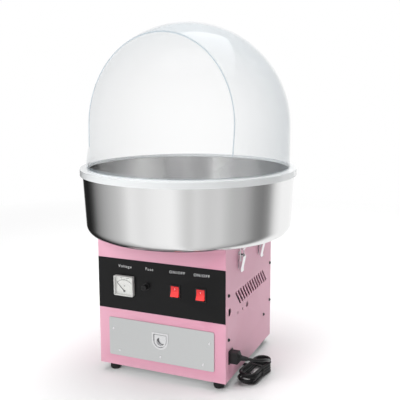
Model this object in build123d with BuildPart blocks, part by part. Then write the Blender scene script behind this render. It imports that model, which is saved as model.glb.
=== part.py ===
from build123d import *
import math
import os

os.makedirs("parts", exist_ok=True)

# Cotton candy machine. Millimetres, +Z up, front faces -Y, origin on the floor under the bowl's axis.

# ---------------------------------------------------------------- driving dimensions
box_w = 325.0
box_d = 325.0
box_bottom = 21.0
box_top = 330.0
sheet = 1.5
side_x = box_w / 2
front_y = -box_d / 2
inner_x = side_x - sheet
inner_y = box_d / 2 - sheet
flange_depth = 20.0
box_h = box_top - box_bottom
box_mid = (box_top + box_bottom) / 2

decal_low = 161.0
decal_high = 284.0
decal_t = 0.5
meter_x, meter_z = -91.5, 221.0
fuse_x, fuse_z = -34.4, 224.7
switch_x = {"left": 39.5, "right": 103.0}
switch_z = 221.5

drawer_w, drawer_low, drawer_high = 271.0, 46.0, 139.0
drawer_mid = (drawer_low + drawer_high) / 2
opening_w, opening_low, opening_high = 250.0, 49.0, 136.0
pull_z = 98.0

bowl_rim_r = 260.0
bowl_rim_z = 485.0
bowl_wall_r = 251.0
bowl_corner_r = 25.0
bowl_sheet = 1.2
bowl_bead_r = 3.0
bowl_hole_r = 31.0

total_height = 835.0
dome_r = 248.0
dome_wall = 3.0
dome_straight_top = total_height - dome_r
flange_r = 264.0
flange_low = bowl_rim_z + 0.3
flange_top = flange_low + dome_wall
skirt_low = 473.0
cut_yaw, cut_tilt, cut_offset, cut_corner_r = 11.5, 3.5, 132.0, 65.0

shaft_r = 6.0
bearing_clearance = 0.05
motor_r = 52.0
motor_low, motor_high = 208.0, 300.0
head_r = 62.0
head_low, head_high = 352.0, 410.0

latch_y = {"front": -80.0, "rear": 62.0}
latch_pivot_x = side_x + 7.5
latch_pivot_z = 298.0
bail_crank = 10.0
bail_length = 30.0
bail_wire_r = 1.25
sides = {"left": -1, "right": 1}

cord_r = 3.3
inlet_y, inlet_z = -133.0, 76.0

front_plane = Plane.XZ.offset(-front_y)
right_plane = Plane.YZ.offset(side_x)


# ---------------------------------------------------------------- case
vent_count, vent_pitch, vent_width, vent_length, vent_slope = 13, 16.0, 6.5, 50.0, -47.0
vent_mid_y, vent_mid_z = 12.0, 199.0
panel_screws = [(-146.0, 222.5), (-146.0, 119.5), (152.0, 221.0), (152.0, 120.0)]
rivet_r = 1.6
latch_rivet_z = [272.0, 304.5]
latch_rivet_points = [(y, z) for y in latch_y.values() for z in latch_rivet_z]

with BuildPart() as cover_shell:
    with BuildSketch(Plane.XZ.offset(inner_y)):
        with BuildLine():
            FilletPolyline((-side_x, box_bottom), (-side_x, box_top), (side_x, box_top), (side_x, box_bottom),
                           radius=2.5)
            Line((side_x, box_bottom), (inner_x, box_bottom))
            Polyline((inner_x, box_bottom), (inner_x, box_top - sheet), (-inner_x, box_top - sheet),
                     (-inner_x, box_bottom), (-side_x, box_bottom))
        make_face()
    extrude(amount=-2 * inner_y)
    with BuildSketch(Plane.XY.offset(box_top)):
        Circle(36)
    extrude(amount=-sheet, mode=Mode.SUBTRACT)
    with BuildSketch(Plane.YZ.offset(-side_x)):
        with Locations((vent_mid_y, vent_mid_z)):
            with GridLocations(vent_pitch, 1, vent_count, 1):
                SlotOverall(vent_length, vent_width, rotation=vent_slope)
        with Locations(*panel_screws):
            Circle(2.0)
        with Locations(*latch_rivet_points):
            Circle(rivet_r)
    extrude(amount=box_w, mode=Mode.SUBTRACT)
    with BuildSketch(right_plane):
        with Locations((-138.5, 182)):
            Circle(9.25)
        with Locations((-85.5, 163), (-54.7, 163)):
            Circle(3.25)
        with Locations((-21.6, 163)):
            Circle(6.5)
        with Locations((inlet_y, inlet_z)):
            Rectangle(20.4, 27.4)
        with Locations((103.8, 95.5)):
            Circle(2.0)
    extrude(amount=-sheet, mode=Mode.SUBTRACT)
cover_shell.part.label = "cover_shell"
export_step(cover_shell.part, "parts/cover_shell.step")


def pan(direction):
    """A flat face with flanges folded back into the case, at the front (-1) or the rear (1)."""
    face_y = direction * box_d / 2
    inside = -1 if direction < 0 else 1
    with BuildPart() as shape:
        with BuildSketch(Plane.XZ.offset(-face_y)):
            with Locations((0, box_mid)):
                Rectangle(box_w, box_h)
        extrude(amount=inside * sheet)
        with BuildSketch(Plane.XZ.offset(-face_y)):
            with Locations((0, box_mid)):
                Rectangle(2 * inner_x, box_h - 2 * sheet)
                Rectangle(2 * inner_x - 2 * sheet, box_h - 4 * sheet, mode=Mode.SUBTRACT)
        extrude(amount=inside * (sheet + flange_depth))
        with BuildSketch(right_plane):
            with Locations(*panel_screws):
                Circle(2.0)
            with Locations((inlet_y - 8, inlet_z)):
                Rectangle(21.0, 36.0)
        extrude(amount=-4 * sheet, mode=Mode.SUBTRACT)
        with BuildSketch(Plane.YZ.offset(-side_x)):
            with Locations(*panel_screws):
                Circle(2.0)
        extrude(amount=4 * sheet, mode=Mode.SUBTRACT)
    return shape.part


front_pan = pan(-1)
with BuildPart() as front_panel:
    add(front_pan)
    with BuildSketch(front_plane):
        with Locations((0, (opening_low + opening_high) / 2)):
            Rectangle(opening_w, opening_high - opening_low)
        with Locations((meter_x, meter_z)):
            Circle(22.6)
        with Locations((fuse_x, fuse_z)):
            Circle(6.1)
        with Locations(*[(x, switch_z) for x in switch_x.values()]):
            Rectangle(22.6, 29.6)
    extrude(amount=-sheet, mode=Mode.SUBTRACT)
front_panel.part.label = "front_panel"
export_step(front_panel.part, "parts/front_panel.step")

rear_pan = pan(1)
with BuildPart() as rear_panel:
    add(rear_pan)
    with BuildSketch(Plane.XZ.offset(front_y)):
        with Locations((0, 250)):
            with GridLocations(1, 14, 1, 6):
                SlotOverall(120, 5)
    extrude(amount=sheet, mode=Mode.SUBTRACT)
rear_panel.part.label = "rear_panel"
export_step(rear_panel.part, "parts/rear_panel.step")

foot_spread = 2 * (side_x - 26)
with BuildPart() as bottom_plate:
    with BuildSketch(Plane.XY.offset(box_bottom)):
        Rectangle(2 * inner_x, 2 * inner_y)
        with GridLocations(foot_spread, foot_spread, 2, 2):
            Circle(2.6, mode=Mode.SUBTRACT)
        with GridLocations(24, 60, 7, 2):
            SlotOverall(40, 6, rotation=90, mode=Mode.SUBTRACT)
    extrude(amount=sheet)
bottom_plate.part.label = "bottom_plate"
export_step(bottom_plate.part, "parts/bottom_plate.step")

with BuildPart() as rubber_feet:
    with BuildSketch():
        with GridLocations(foot_spread, foot_spread, 2, 2):
            Circle(13)
    extrude(amount=box_bottom)
    chamfer(rubber_feet.edges().group_by(Axis.Z)[0], length=4.0, length2=1.5)
    with BuildSketch():
        with GridLocations(foot_spread, foot_spread, 2, 2):
            Circle(5)
    extrude(amount=12, mode=Mode.SUBTRACT)
    with BuildSketch():
        with GridLocations(foot_spread, foot_spread, 2, 2):
            Circle(2.6)
    extrude(amount=box_bottom, mode=Mode.SUBTRACT)
rubber_feet.part.label = "rubber_feet"
export_step(rubber_feet.part, "parts/rubber_feet.step")

with BuildPart() as case_screws:
    for side in sides.values():
        with BuildSketch(Plane.YZ.offset(side * side_x)):
            with Locations(*panel_screws):
                Circle(3.8)
        extrude(amount=side * 1.6)
        with BuildSketch(Plane.YZ.offset(side * side_x)):
            with Locations(*panel_screws):
                Circle(1.8)
        extrude(amount=-side * 8)
    with BuildSketch(right_plane):
        with Locations((103.8, 95.5)):
            Circle(3.8)
    extrude(amount=1.6)
    with BuildSketch(right_plane):
        with Locations((103.8, 95.5)):
            Circle(1.8)
    extrude(amount=-8)
    with BuildSketch(Plane.XY.offset(9)):
        with GridLocations(foot_spread, foot_spread, 2, 2):
            Circle(4.6)
    extrude(amount=3)
    with BuildSketch(Plane.XY.offset(9)):
        with GridLocations(foot_spread, foot_spread, 2, 2):
            Circle(2.4)
    extrude(amount=20)
case_screws.part.label = "case_screws"
export_step(case_screws.part, "parts/case_screws.step")

with BuildPart() as control_decal:
    with BuildSketch(front_plane):
        with Locations((0, (decal_low + decal_high) / 2)):
            Rectangle(box_w, decal_high - decal_low)
        with Locations((meter_x, meter_z)):
            Circle(22.6, mode=Mode.SUBTRACT)
        with Locations((fuse_x, fuse_z)):
            Circle(6.1, mode=Mode.SUBTRACT)
        with Locations(*[(x, switch_z) for x in switch_x.values()]):
            Rectangle(22.6, 29.6, mode=Mode.SUBTRACT)
    extrude(amount=decal_t)
control_decal.part.label = "control_decal"
export_step(control_decal.part, "parts/control_decal.step")

# ---------------------------------------------------------------- voltmeter
meter_w, meter_h = 50.0, 47.0
panel_front = -front_y + decal_t
pointer_z = meter_z - 13.0

with BuildPart() as meter_case:
    with BuildSketch(Plane.XZ.offset(panel_front)):
        with Locations((meter_x, meter_z)):
            RectangleRounded(meter_w, meter_h, 2)
    extrude(amount=9)
    with BuildSketch(Plane.XZ.offset(panel_front + 2)):
        with Locations((meter_x, meter_z)):
            RectangleRounded(meter_w - 4, meter_h - 4, 1)
    extrude(amount=7, mode=Mode.SUBTRACT)
    with BuildSketch(Plane.XZ.offset(panel_front)):
        with Locations((meter_x, meter_z)):
            Circle(22.3)
    extrude(amount=-26)
    with BuildSketch(Plane.XZ.offset(panel_front - 24)):
        with Locations((meter_x, meter_z)):
            Circle(20.3)
    extrude(amount=26, mode=Mode.SUBTRACT)
meter_case.part.label = "meter_case"
export_step(meter_case.part, "parts/meter_case.step")

with BuildPart() as meter_dial:
    with BuildSketch(Plane.XZ.offset(panel_front + 2)):
        with Locations((meter_x, meter_z)):
            RectangleRounded(45.6, 42.6, 1.2)
        with Locations((meter_x, pointer_z)):
            Circle(2.0, mode=Mode.SUBTRACT)
    extrude(amount=0.8)
meter_dial.part.label = "meter_dial"
export_step(meter_dial.part, "parts/meter_dial.step")

needle_angle = 135.0
with BuildPart() as meter_needle:
    with BuildSketch(Plane.XZ.offset(panel_front + 3.4)):
        with Locations((meter_x, pointer_z)):
            Circle(2.6)
        with BuildLine():
            needle_tip = (meter_x + 27 * math.cos(math.radians(needle_angle)),
                          pointer_z + 27 * math.sin(math.radians(needle_angle)))
            Polyline((meter_x - 0.7, pointer_z - 0.7), (meter_x + 0.7, pointer_z + 0.7),
                     (needle_tip[0] + 0.2, needle_tip[1] + 0.2), (needle_tip[0] - 0.2, needle_tip[1] - 0.2),
                     close=True)
        make_face()
    extrude(amount=0.7)
meter_needle.part.label = "meter_needle"
export_step(meter_needle.part, "parts/meter_needle.step")

with BuildPart() as meter_window:
    with BuildSketch(Plane.XZ.offset(panel_front + 9)):
        with Locations((meter_x, meter_z)):
            RectangleRounded(meter_w, meter_h, 2)
    extrude(amount=1.6)
    with BuildSketch(Plane.XZ.offset(panel_front + 9)):
        with Locations((meter_x, meter_z)):
            RectangleRounded(meter_w - 4.4, meter_h - 4.4, 1)
            Rectangle(meter_w - 7, meter_h - 7, mode=Mode.SUBTRACT)
    extrude(amount=-2)
meter_window.part.label = "meter_window"
export_step(meter_window.part, "parts/meter_window.step")

# ---------------------------------------------------------------- fuse
with BuildPart() as fuse_holder:
    with BuildSketch(Plane.XZ.offset(panel_front)):
        with Locations((fuse_x, fuse_z)):
            Circle(8.5)
    extrude(amount=2.5)
    with BuildSketch(Plane.XZ.offset(panel_front)):
        with Locations((fuse_x, fuse_z)):
            Circle(6.0)
    extrude(amount=-36)
    with BuildSketch(Plane.XZ.offset(panel_front + 2.5)):
        with Locations((fuse_x, fuse_z)):
            Circle(4.55)
    extrude(amount=-35, mode=Mode.SUBTRACT)
fuse_holder.part.label = "fuse_holder"
export_step(fuse_holder.part, "parts/fuse_holder.step")

with BuildPart() as fuse_cap:
    with BuildSketch(Plane.XZ.offset(panel_front + 2.8)):
        with Locations((fuse_x, fuse_z)):
            Circle(6.5)
    extrude(amount=11)
    chamfer(fuse_cap.edges().group_by(Axis.Y)[0], 1)
    with BuildSketch(Plane.XZ.offset(panel_front + 4.8)):
        with Locations((fuse_x, fuse_z)):
            with PolarLocations(6.9, 12):
                Circle(0.8)
    extrude(amount=10, mode=Mode.SUBTRACT)
    with BuildSketch(Plane.XZ.offset(panel_front + 2.8)):
        with Locations((fuse_x, fuse_z)):
            Circle(4.5)
    extrude(amount=-9)
    with BuildSketch(Plane.XZ.offset(panel_front + 13.8)):
        with Locations((fuse_x, fuse_z)):
            Rectangle(8, 1.2)
    extrude(amount=-1.2, mode=Mode.SUBTRACT)
fuse_cap.part.label = "fuse_cap"
export_step(fuse_cap.part, "parts/fuse_cap.step")

with BuildPart() as glass_fuse:
    with BuildSketch(Plane.XZ.offset(panel_front - 8)):
        with Locations((fuse_x, fuse_z)):
            Circle(2.6)
    extrude(amount=-20)
glass_fuse.part.label = "glass_fuse"
export_step(glass_fuse.part, "parts/glass_fuse.step")

# ---------------------------------------------------------------- rocker switches
rocker_pivot_y = front_y + sheet
rocker_half, rocker_face, rocker_tilt = 12.0, 5.0, 11.0
rocker_tip = rocker_face + rocker_half * math.tan(math.radians(rocker_tilt))
switch_flange = 2.0


def switch_body(x):
    """Bezel and hollow tub, open at the front, with the rocker's trunnion pin across it."""
    with BuildPart() as shape:
        with BuildSketch(Plane.XZ.offset(panel_front)):
            with Locations((x, switch_z)):
                RectangleRounded(26, 31, 1.5)
        extrude(amount=switch_flange)
        with BuildSketch(Plane.XZ.offset(panel_front)):
            with Locations((x, switch_z)):
                Rectangle(22.4, 29.4)
        extrude(amount=-24)
        with BuildSketch(Plane.XZ.offset(panel_front + switch_flange)):
            with Locations((x, switch_z)):
                Rectangle(20.4, 27.4)
        extrude(amount=-24.5, mode=Mode.SUBTRACT)
        with BuildSketch(Plane.YZ.offset(x - 10.7)):
            with Locations((rocker_pivot_y, switch_z)):
                Circle(1.25)
        extrude(amount=21.4)
        with BuildSketch(Plane.XZ.offset(panel_front - 24)):
            with Locations((x, switch_z)):
                with GridLocations(1, 8, 1, 3):
                    Rectangle(6.3, 0.8)
        extrude(amount=-8)
    return shape.part


def rocker(x):
    """Rocker with a shallow V face, turned so that its top half is pressed in."""
    press = math.radians(rocker_tilt)
    outline = [(0, rocker_face), (rocker_half, rocker_tip), (11.2, 0), (4.5, -5.5), (-4.5, -5.5), (-11.2, 0),
               (-rocker_half, rocker_tip)]
    turned = [(rocker_pivot_y - (f * math.cos(press) - h * math.sin(press)),
               switch_z + h * math.cos(press) + f * math.sin(press)) for h, f in outline]
    with BuildPart() as shape:
        with BuildSketch(Plane.YZ.offset(x - 9.75)):
            with BuildLine():
                Polyline(*turned, close=True)
            make_face()
            with Locations((rocker_pivot_y, switch_z)):
                Circle(1.3, mode=Mode.SUBTRACT)
        extrude(amount=19.5)
    return shape.part


for place, x in switch_x.items():
    switch_part = switch_body(x)
    switch_part.label = f"switch_body_{place}"
    export_step(switch_part, f"parts/switch_body_{place}.step")
    rocker_part = rocker(x)
    rocker_part.label = f"rocker_{place}"
    export_step(rocker_part, f"parts/rocker_{place}.step")

# ---------------------------------------------------------------- drawer
plate_back = -front_y + 0.5
tray_w, tray_low, tray_high, tray_rear, tray_sheet = 240.0, 52.0, 130.0, 130.0, 1.0
cup_w, cup_h, cup_depth = 42.0, 40.0, 9.0
tub_w, tub_h, tub_wall = 36.0, 34.0, 1.0
ring_w, ring_h, ring_hole_r = 30.0, 28.5, 10.0
drawer_rivet_points = [(-124, 111), (124, 111), (-108, 59), (108, 59), (0, 59.5)]


def pull_outline(width, height, z):
    """A D standing on its round side: flat top, half-round bottom."""
    straight = height - width / 2
    with BuildSketch(Plane.XZ) as outline:
        with BuildLine():
            Polyline((-width / 2, z + height / 2 - straight), (-width / 2, z + height / 2),
                     (width / 2, z + height / 2), (width / 2, z + height / 2 - straight))
            RadiusArc((width / 2, z + height / 2 - straight), (-width / 2, z + height / 2 - straight), width / 2)
        make_face()
    return outline.sketch_local


pull_hole = pull_outline(tub_w + 0.4, tub_h + 0.4, pull_z)
cup_shape = pull_outline(cup_w, cup_h, pull_z)
tub_shape = pull_outline(tub_w, tub_h, pull_z)
tub_room = pull_outline(tub_w - 2 * tub_wall, tub_h - 2 * tub_wall, pull_z)
ring_shape = pull_outline(ring_w, ring_h, pull_z - 0.4)

with BuildPart() as drawer_front:
    with BuildSketch(Plane.XZ.offset(plate_back)):
        with Locations((0, drawer_mid)):
            RectangleRounded(drawer_w, drawer_high - drawer_low, 4)
        add(pull_hole, mode=Mode.SUBTRACT)
        with Locations(*drawer_rivet_points):
            Circle(1.7, mode=Mode.SUBTRACT)
    extrude(amount=1.5)
drawer_front.part.label = "drawer_front"
export_step(drawer_front.part, "parts/drawer_front.step")

with BuildPart() as drawer_tray:
    tray_front = plate_back
    tray_mid_y = (tray_rear - tray_front) / 2
    with BuildSketch(Plane.XY.offset(tray_low)):
        with Locations((0, tray_mid_y)):
            Rectangle(tray_w, tray_rear + tray_front)
    extrude(amount=tray_high - tray_low)
    with BuildSketch(Plane.XY.offset(tray_low + tray_sheet)):
        with Locations((0, tray_mid_y)):
            Rectangle(tray_w - 2 * tray_sheet, tray_rear + tray_front - 2 * tray_sheet)
    extrude(amount=tray_high - tray_low, mode=Mode.SUBTRACT)
    with BuildSketch(Plane.XZ.offset(plate_back)):
        with Locations((0, (opening_low + opening_high) / 2)):
            Rectangle(opening_w - 2, opening_high - opening_low - 2)
    extrude(amount=-tray_sheet)
    with BuildSketch(Plane.XZ.offset(plate_back)):
        add(pull_hole)
        with Locations(*drawer_rivet_points):
            Circle(1.7)
    extrude(amount=-tray_sheet, mode=Mode.SUBTRACT)
drawer_tray.part.label = "drawer_tray"
export_step(drawer_tray.part, "parts/drawer_tray.step")

with BuildPart() as drawer_rivets:
    with BuildSketch(Plane.XZ.offset(plate_back + 1.5)):
        with Locations(*drawer_rivet_points):
            Circle(3.2)
    extrude(amount=1.0)
    fillet(drawer_rivets.edges().group_by(Axis.Y)[0], 0.8)
    with BuildSketch(Plane.XZ.offset(plate_back + 1.5)):
        with Locations(*drawer_rivet_points):
            Circle(1.6)
    extrude(amount=-1.9)
drawer_rivets.part.label = "drawer_rivets"
export_step(drawer_rivets.part, "parts/drawer_rivets.step")

with BuildPart() as drawer_rails:
    for side in sides.values():
        with BuildSketch(Plane.XZ.offset(140)):
            with BuildLine():
                Polyline((side * 112, box_bottom + sheet), (side * 134, box_bottom + sheet),
                         (side * 134, box_bottom + 2 * sheet), (side * 124.5, box_bottom + 2 * sheet),
                         (side * 124.5, 74), (side * 123, 74), (side * 123, tray_low - 0.3),
                         (side * 112, tray_low - 0.3), (side * 112, tray_low - 0.3 - sheet),
                         (side * 123, tray_low - 0.3 - sheet), (side * 123, box_bottom + 2 * sheet),
                         (side * 112, box_bottom + 2 * sheet), close=True)
            make_face()
        extrude(amount=-275)
drawer_rails.part.label = "drawer_rails"
export_step(drawer_rails.part, "parts/drawer_rails.step")

pull_front = plate_back + 1.5
pull_pin_z = pull_z + 12.6
pull_pin = pull_front - 3.4


with BuildPart() as pull_cup:
    with BuildSketch(Plane.XZ.offset(pull_front)):
        add(cup_shape)
    extrude(amount=1.2)
    with BuildSketch(Plane.XZ.offset(pull_front)):
        add(tub_shape)
    extrude(amount=-cup_depth)
    with BuildSketch(Plane.XZ.offset(pull_front + 1.2)):
        add(tub_room)
    extrude(amount=-cup_depth, mode=Mode.SUBTRACT)
    with BuildSketch(Plane.YZ.offset(-tub_w / 2 + 0.5)):
        with Locations((-pull_pin, pull_pin_z)):
            Circle(1.0)
    extrude(amount=tub_w - 1)
pull_cup.part.label = "pull_cup"
export_step(pull_cup.part, "parts/pull_cup.step")

with BuildPart() as pull_ring:
    with BuildSketch(Plane.XZ.offset(pull_front - 0.5)):
        add(ring_shape)
        with Locations((0, pull_z - 2.0)):
            Circle(ring_hole_r, mode=Mode.SUBTRACT)
    extrude(amount=-2.2)
    with BuildSketch(Plane.YZ.offset(-ring_w / 2)):
        with Locations((-pull_pin, pull_pin_z)):
            Circle(2.2)
    extrude(amount=ring_w)
    with BuildSketch(Plane.YZ.offset(-ring_w / 2)):
        with Locations((-pull_pin, pull_pin_z)):
            Circle(1.05)
    extrude(amount=ring_w, mode=Mode.SUBTRACT)
pull_ring.part.label = "pull_ring"
export_step(pull_ring.part, "parts/pull_ring.step")

# ---------------------------------------------------------------- motor
bearing_r, bearing_w = 14.0, 8.0
upper_bearing_z = motor_high - 12
lower_bearing_z = motor_low - 1
plate_size, stud_spread = 140.0, 118.0

with BuildPart() as motor_housing:
    with BuildSketch(Plane.XY.offset(motor_low)):
        Circle(motor_r)
    extrude(amount=motor_high - motor_low)
    with BuildSketch(Plane.XY.offset(motor_low)):
        Circle(motor_r - 3)
    extrude(amount=motor_high - motor_low - 4, mode=Mode.SUBTRACT)
    with BuildSketch(Plane.XY.offset(upper_bearing_z - 2)):
        Circle(bearing_r + 3)
    extrude(amount=motor_high - upper_bearing_z)
    with BuildSketch(Plane.XY.offset(upper_bearing_z - 2)):
        Circle(bearing_r)
    extrude(amount=bearing_w + 2, mode=Mode.SUBTRACT)
    with BuildSketch(Plane.XY.offset(upper_bearing_z)):
        Circle(9)
    extrude(amount=30, mode=Mode.SUBTRACT)
motor_housing.part.label = "motor_housing"
export_step(motor_housing.part, "parts/motor_housing.step")

with BuildPart() as motor_end_cap:
    with BuildSketch(Plane.XY.offset(motor_low)):
        Circle(motor_r)
    extrude(amount=-5)
    with BuildSketch(Plane.XY.offset(motor_low)):
        Circle(bearing_r + 3)
    extrude(amount=bearing_w)
    with BuildSketch(Plane.XY.offset(motor_low - 1)):
        Circle(bearing_r)
    extrude(amount=bearing_w + 1, mode=Mode.SUBTRACT)
    with BuildSketch(Plane.XY.offset(motor_low - 5)):
        Circle(9)
    extrude(amount=4, mode=Mode.SUBTRACT)
motor_end_cap.part.label = "motor_end_cap"
export_step(motor_end_cap.part, "parts/motor_end_cap.step")

with BuildPart() as shaft_bearings:
    for z in (upper_bearing_z, lower_bearing_z):
        with BuildSketch(Plane.XY.offset(z)):
            Circle(bearing_r - 0.05)
            Circle(shaft_r + bearing_clearance, mode=Mode.SUBTRACT)
        extrude(amount=bearing_w)
shaft_bearings.part.label = "shaft_bearings"
export_step(shaft_bearings.part, "parts/shaft_bearings.step")

with BuildPart() as motor_stator:
    with BuildSketch(Plane.XY.offset(228)):
        Circle(motor_r - 3.1)
        Circle(30.6, mode=Mode.SUBTRACT)
    extrude(amount=46)
    with BuildSketch(Plane.XY.offset(221)):
        Circle(46)
        Circle(33, mode=Mode.SUBTRACT)
    extrude(amount=60)
motor_stator.part.label = "motor_stator"
export_step(motor_stator.part, "parts/motor_stator.step")

with BuildPart() as motor_rotor:
    with BuildSketch(Plane.XY.offset(228)):
        Circle(30)
        Circle(shaft_r, mode=Mode.SUBTRACT)
    extrude(amount=46)
motor_rotor.part.label = "motor_rotor"
export_step(motor_rotor.part, "parts/motor_rotor.step")

with BuildPart() as motor_bracket:
    with BuildSketch(Plane.XY.offset(motor_high)):
        RectangleRounded(plate_size, plate_size, 8)
        Circle(20, mode=Mode.SUBTRACT)
        with GridLocations(stud_spread, stud_spread, 2, 2):
            Circle(3.2, mode=Mode.SUBTRACT)
    extrude(amount=3)
motor_bracket.part.label = "motor_bracket"
export_step(motor_bracket.part, "parts/motor_bracket.step")

with BuildPart() as motor_studs:
    with BuildSketch(Plane.XY.offset(box_top - sheet)):
        with GridLocations(stud_spread, stud_spread, 2, 2):
            Circle(3)
    extrude(amount=-36)
    with BuildSketch(Plane.XY.offset(box_top - sheet)):
        with GridLocations(stud_spread, stud_spread, 2, 2):
            Circle(7)
    extrude(amount=motor_high + 3 - box_top + sheet)
    with BuildSketch(Plane.XY.offset(motor_high)):
        with GridLocations(stud_spread, stud_spread, 2, 2):
            RegularPolygon(5.8, 6)
    extrude(amount=-5)
motor_studs.part.label = "motor_studs"
export_step(motor_studs.part, "parts/motor_studs.step")

with BuildPart() as drive_shaft:
    with BuildSketch(Plane.XY.offset(152)):
        Circle(shaft_r)
    extrude(amount=372 - 152)
    with BuildSketch(Plane.XY.offset(head_low - 10)):
        Circle(10)
    extrude(amount=4)
drive_shaft.part.label = "drive_shaft"
export_step(drive_shaft.part, "parts/drive_shaft.step")

ring_levels = (168.0, 184.0)
with BuildPart() as slip_rings:
    with BuildSketch(Plane.XY.offset(160)):
        Circle(14)
        Circle(shaft_r, mode=Mode.SUBTRACT)
    extrude(amount=38)
    for z in ring_levels:
        with BuildSketch(Plane.XY.offset(z)):
            Circle(16)
            Circle(shaft_r, mode=Mode.SUBTRACT)
        extrude(amount=8)
slip_rings.part.label = "slip_rings"
export_step(slip_rings.part, "parts/slip_rings.step")

with BuildPart() as brush_holder:
    with BuildSketch(Plane.XY.offset(motor_low - 5)):
        with Locations((36, 0)):
            Rectangle(14, 22)
    extrude(amount=-43)
    for z in ring_levels:
        with BuildSketch(Plane.YZ.offset(29)):
            with Locations((0, z + 4)):
                Rectangle(12, 6.2)
        extrude(amount=10, mode=Mode.SUBTRACT)
brush_holder.part.label = "brush_holder"
export_step(brush_holder.part, "parts/brush_holder.step")

with BuildPart() as carbon_brushes:
    for z in ring_levels:
        with BuildSketch(Plane.YZ.offset(16.3)):
            with Locations((0, z + 4)):
                Rectangle(11.8, 6)
        extrude(amount=20)
carbon_brushes.part.label = "carbon_brushes"
export_step(carbon_brushes.part, "parts/carbon_brushes.step")

with BuildPart() as terminal_block:
    with BuildSketch(Plane.YZ.offset(-inner_x)):
        with Locations((-60, 158)):
            Rectangle(64, 18)
    extrude(amount=16)
    with BuildSketch(Plane.YZ.offset(-inner_x + 16)):
        with Locations((-60, 158)):
            with GridLocations(10, 9, 6, 2):
                Circle(2)
    extrude(amount=-6, mode=Mode.SUBTRACT)
terminal_block.part.label = "terminal_block"
export_step(terminal_block.part, "parts/terminal_block.step")

# ---------------------------------------------------------------- spinner head
with BuildPart() as head_base:
    with BuildSketch(Plane.XY.offset(head_low)):
        Circle(head_r)
    extrude(amount=12)
    with BuildSketch(Plane.XY.offset(head_low + 4)):
        Circle(head_r - 4)
    extrude(amount=8, mode=Mode.SUBTRACT)
    with BuildSketch(Plane.XY.offset(head_low - 6)):
        Circle(15)
    extrude(amount=12)
    with BuildSketch(Plane.XY.offset(head_low + 4)):
        with PolarLocations(50, 4, 45):
            Circle(3)
    extrude(amount=head_high - head_low - 4)
    with BuildSketch(Plane.XY.offset(head_low - 6)):
        Circle(shaft_r)
    extrude(amount=12, mode=Mode.SUBTRACT)
head_base.part.label = "head_base"
export_step(head_base.part, "parts/head_base.step")


def slotted_band(outer, wall, low, high, slots, slot_w, slot_h):
    """A thin ring whose wall is pierced all round by upright slots."""
    with BuildPart() as shape:
        with BuildSketch(Plane.XY.offset(low)):
            Circle(outer)
            Circle(outer - wall, mode=Mode.SUBTRACT)
        extrude(amount=high - low)
        with Locations((0, 0, (low + high) / 2)):
            with PolarLocations(outer - wall / 2, slots):
                Box(4 * wall, slot_w, slot_h, mode=Mode.SUBTRACT)
    return shape.part


heating_ribbon = slotted_band(57, 1.0, head_low + 6, head_high - 2, 30, 5.0, 42)
heating_ribbon.label = "heating_ribbon"
export_step(heating_ribbon, "parts/heating_ribbon.step")

head_band = slotted_band(head_r - 0.2, 1.2, head_low + 12, head_high, 36, 4.0, 36)
head_band.label = "head_band"
export_step(head_band, "parts/head_band.step")

with BuildPart() as head_cap:
    with BuildSketch(Plane.XY.offset(head_high)):
        Circle(head_r)
    extrude(amount=4)
    chamfer(head_cap.edges().group_by(Axis.Z)[-1], 1.5)
    with BuildSketch(Plane.XY.offset(head_high + 4)):
        Circle(28)
    extrude(amount=8, taper=20)
    with BuildSketch(Plane.XY.offset(head_high)):
        Circle(23)
    extrude(amount=14, mode=Mode.SUBTRACT)
head_cap.part.label = "head_cap"
export_step(head_cap.part, "parts/head_cap.step")

with BuildPart() as head_nut:
    with BuildSketch(Plane.XY.offset(head_low + 6)):
        RegularPolygon(11, 6)
        Circle(shaft_r, mode=Mode.SUBTRACT)
    extrude(amount=10)
head_nut.part.label = "head_nut"
export_step(head_nut.part, "parts/head_nut.step")

# ---------------------------------------------------------------- bowl
bead_x = bowl_rim_r - bowl_bead_r
bead_z = bowl_rim_z - bowl_bead_r
wall_top_r = bead_x + 0.4
corner_inner = bowl_corner_r - bowl_sheet
floor_r = bowl_wall_r - bowl_corner_r

with BuildPart() as bowl:
    with BuildSketch(Plane.XZ):
        with BuildLine():
            Line((bowl_hole_r, box_top), (floor_r, box_top))
            RadiusArc((floor_r, box_top), (bowl_wall_r, box_top + bowl_corner_r), -bowl_corner_r)
            Line((bowl_wall_r, box_top + bowl_corner_r), (wall_top_r, bead_z))
            Line((wall_top_r, bead_z), (wall_top_r - bowl_sheet, bead_z))
            Line((wall_top_r - bowl_sheet, bead_z), (bowl_wall_r - bowl_sheet, box_top + bowl_corner_r))
            RadiusArc((bowl_wall_r - bowl_sheet, box_top + bowl_corner_r), (floor_r, box_top + bowl_sheet),
                      corner_inner)
            Polyline((floor_r, box_top + bowl_sheet), (bowl_hole_r + bowl_sheet, box_top + bowl_sheet),
                     (bowl_hole_r + bowl_sheet, box_top + 14), (bowl_hole_r, box_top + 14),
                     (bowl_hole_r, box_top))
        make_face()
        with Locations((bead_x, bead_z)):
            Circle(bowl_bead_r)
    revolve(axis=Axis.Z)
bowl.part.label = "bowl"
export_step(bowl.part, "parts/bowl.step")

# ---------------------------------------------------------------- draw latches
catch_ledge_z = latch_pivot_z - bail_crank + bail_length - bail_wire_r - 0.3
catch_plate_x = latch_pivot_x - 5.0
catch_foot_z = box_top - 1.3
catch_lip_x = latch_pivot_x + bail_wire_r + 3.2

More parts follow.
